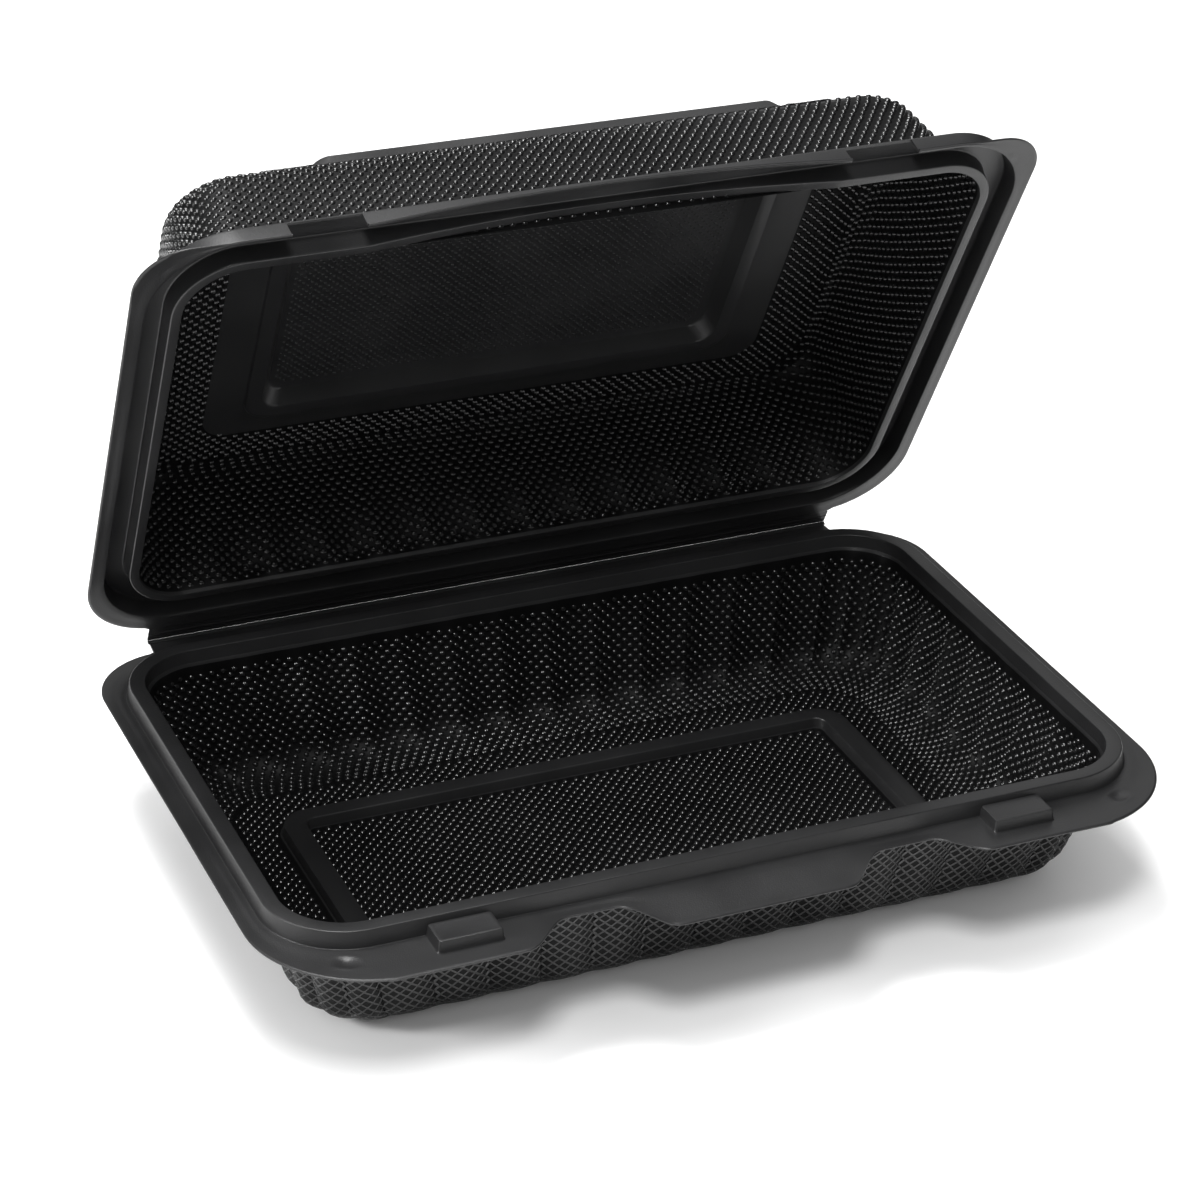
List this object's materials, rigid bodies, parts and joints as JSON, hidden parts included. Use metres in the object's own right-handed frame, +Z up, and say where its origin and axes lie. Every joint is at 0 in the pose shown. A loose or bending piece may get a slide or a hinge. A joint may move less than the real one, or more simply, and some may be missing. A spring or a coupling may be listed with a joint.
{
  "type": "hinged plastic clamshell pack",
  "caption": "Black hinged food pack: a shallow tray with fluted walls and a raised rim, and a domed lid on a film hinge, with snap latches and a pull tab.",
  "frame": {"origin": "centre of the underside of the tray, on the surface it stands on", "axes": "+X along the hinge, +Y from the latches towards the hinge, +Z up"},
  "size_m": [0.2336, 0.1864, 0.1739],
  "materials": {
    "black_sheet": "satin black moulded sheet with rows of small raised beads"
  },
  "bodies": {
    "tray": {"base_tray": "black_sheet"},
    "lid": {"lid": "black_sheet"}
  },
  "joints": [
    {"name": "lid_hinge", "type": "hinge", "parent": "tray", "child": "lid", "pos_m": [0, 0.0827, 0.03335], "axis": [-1, 0, 0], "range_deg": [-62, 113]}
  ]
}
